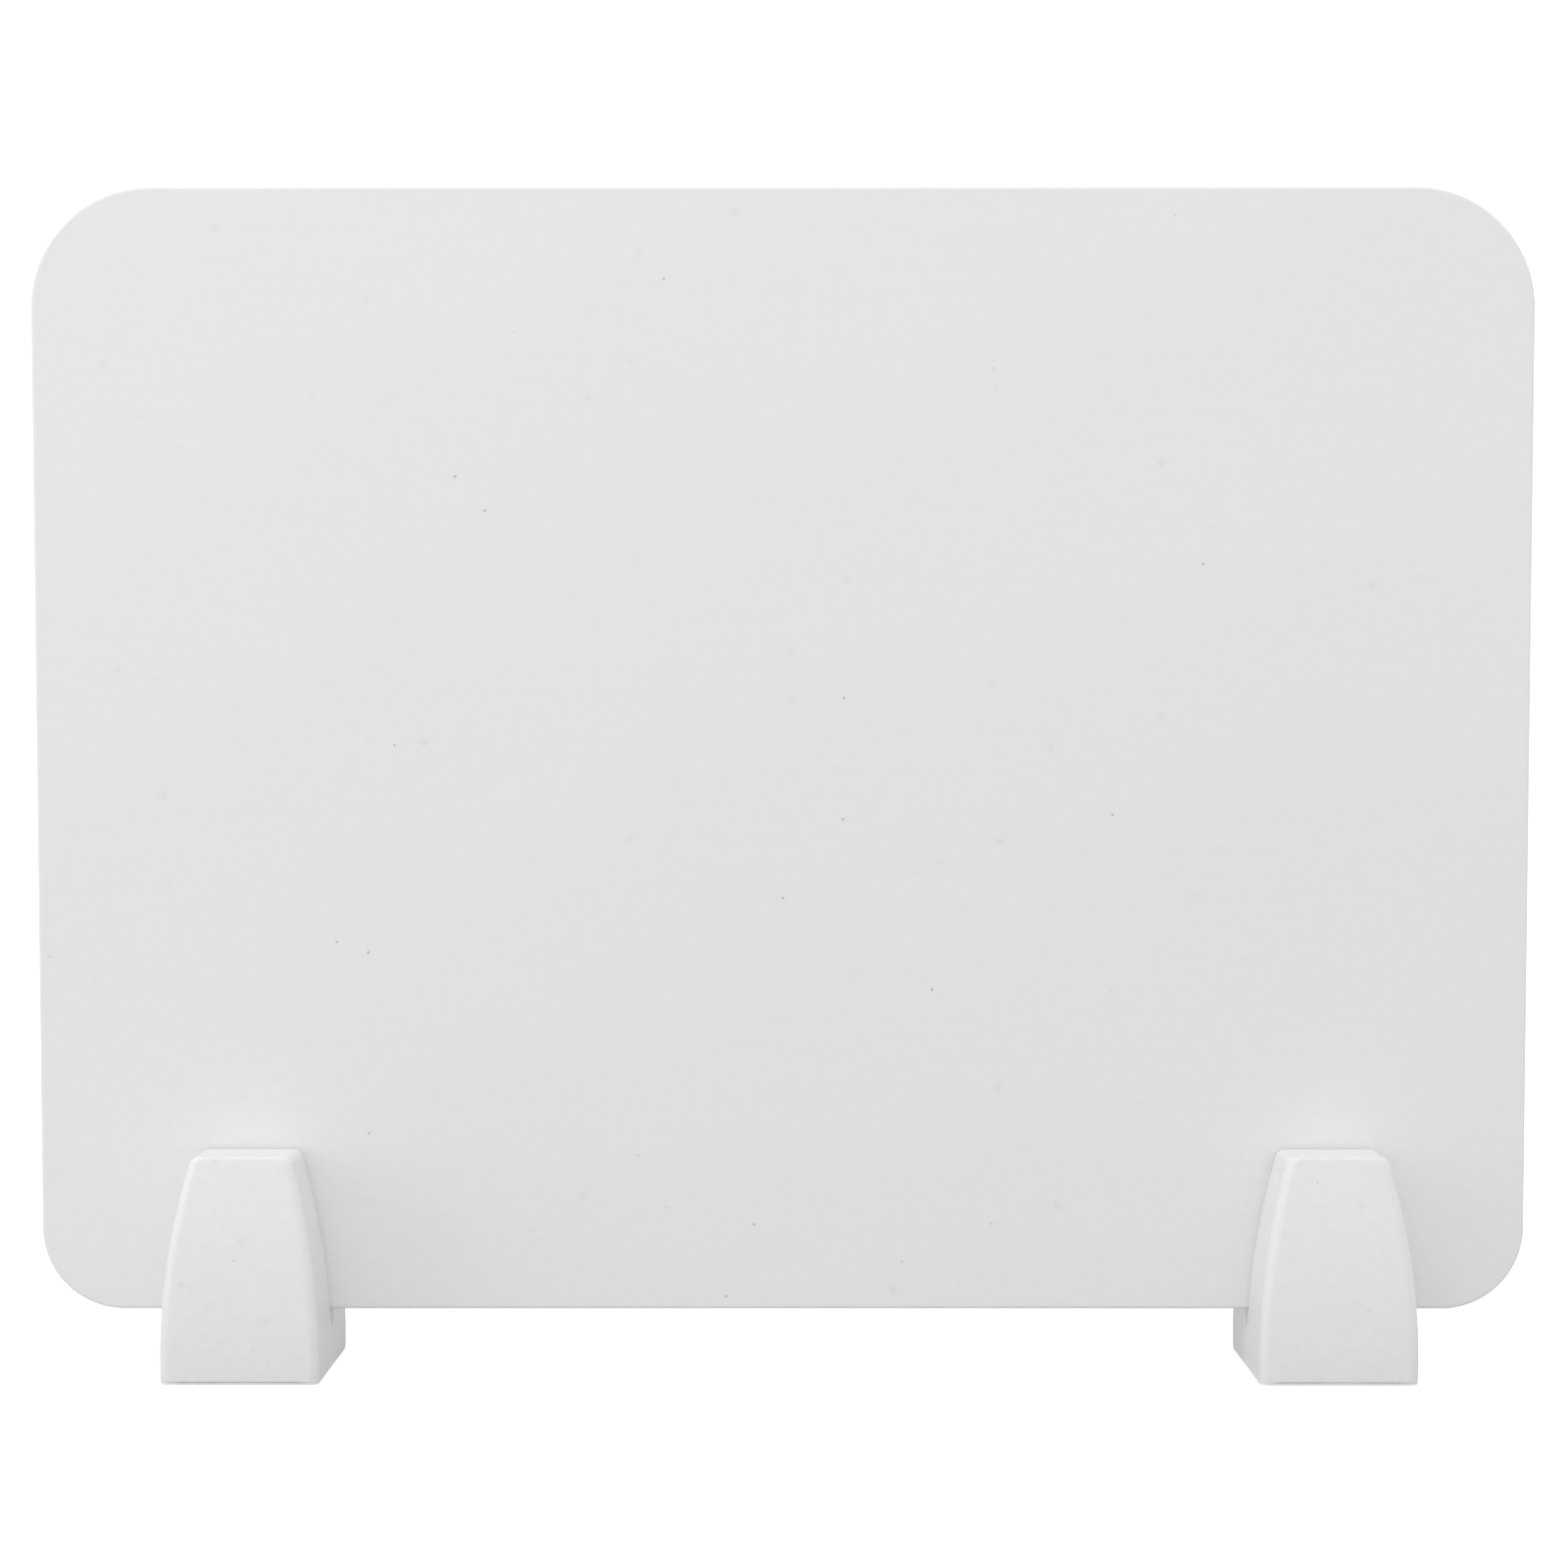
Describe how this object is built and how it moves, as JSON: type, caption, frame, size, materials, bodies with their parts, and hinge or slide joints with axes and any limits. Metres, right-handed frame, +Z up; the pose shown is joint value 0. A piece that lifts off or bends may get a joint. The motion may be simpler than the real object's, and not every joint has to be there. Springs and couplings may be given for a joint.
{
  "type": "desk privacy panel",
  "caption": "Low upright screen for a desk: a flat rigid sheet with round corners stands in the slots of moulded feet, which slide along its lower edge and pull off.",
  "frame": {"origin": "on the desk surface, below the middle of the sheet", "axes": "+X along the sheet, to the right as seen from the front; +Y through its thickness, to the back; +Z up"},
  "size_m": [0.4, 0.062, 0.3159],
  "materials": {
    "panel_sheet": "matt, fine even grain",
    "foot_plastic": "satin, lightly spark-eroded",
    "grip_rubber": "matt",
    "sole_foam": "matt, fine closed cells"
  },
  "bodies": {
    "panel": {"privacy_panel": "panel_sheet"},
    "left_grip": {"left_grip_liner": "grip_rubber"},
    "left_foot": {"left_foot_shell": "foot_plastic", "left_sole_pad": "sole_foam"},
    "right_grip": {"right_grip_liner": "grip_rubber"},
    "right_foot": {"right_foot_shell": "foot_plastic", "right_sole_pad": "sole_foam"}
  },
  "joints": [
    {"name": "left_foot_slide", "type": "slide", "parent": "panel", "child": "left_grip", "axis": [1, 0, 0], "range_m": [-0.0245, 0.11]},
    {"name": "left_foot_pull_off", "type": "slide", "parent": "left_grip", "child": "left_foot", "axis": [0, 0, -1], "range_m": [0, 0.055]},
    {"name": "right_foot_slide", "type": "slide", "parent": "panel", "child": "right_grip", "axis": [-1, 0, 0], "range_m": [-0.021, 0.113]},
    {"name": "right_foot_pull_off", "type": "slide", "parent": "right_grip", "child": "right_foot", "axis": [0, 0, -1], "range_m": [0, 0.055]}
  ]
}
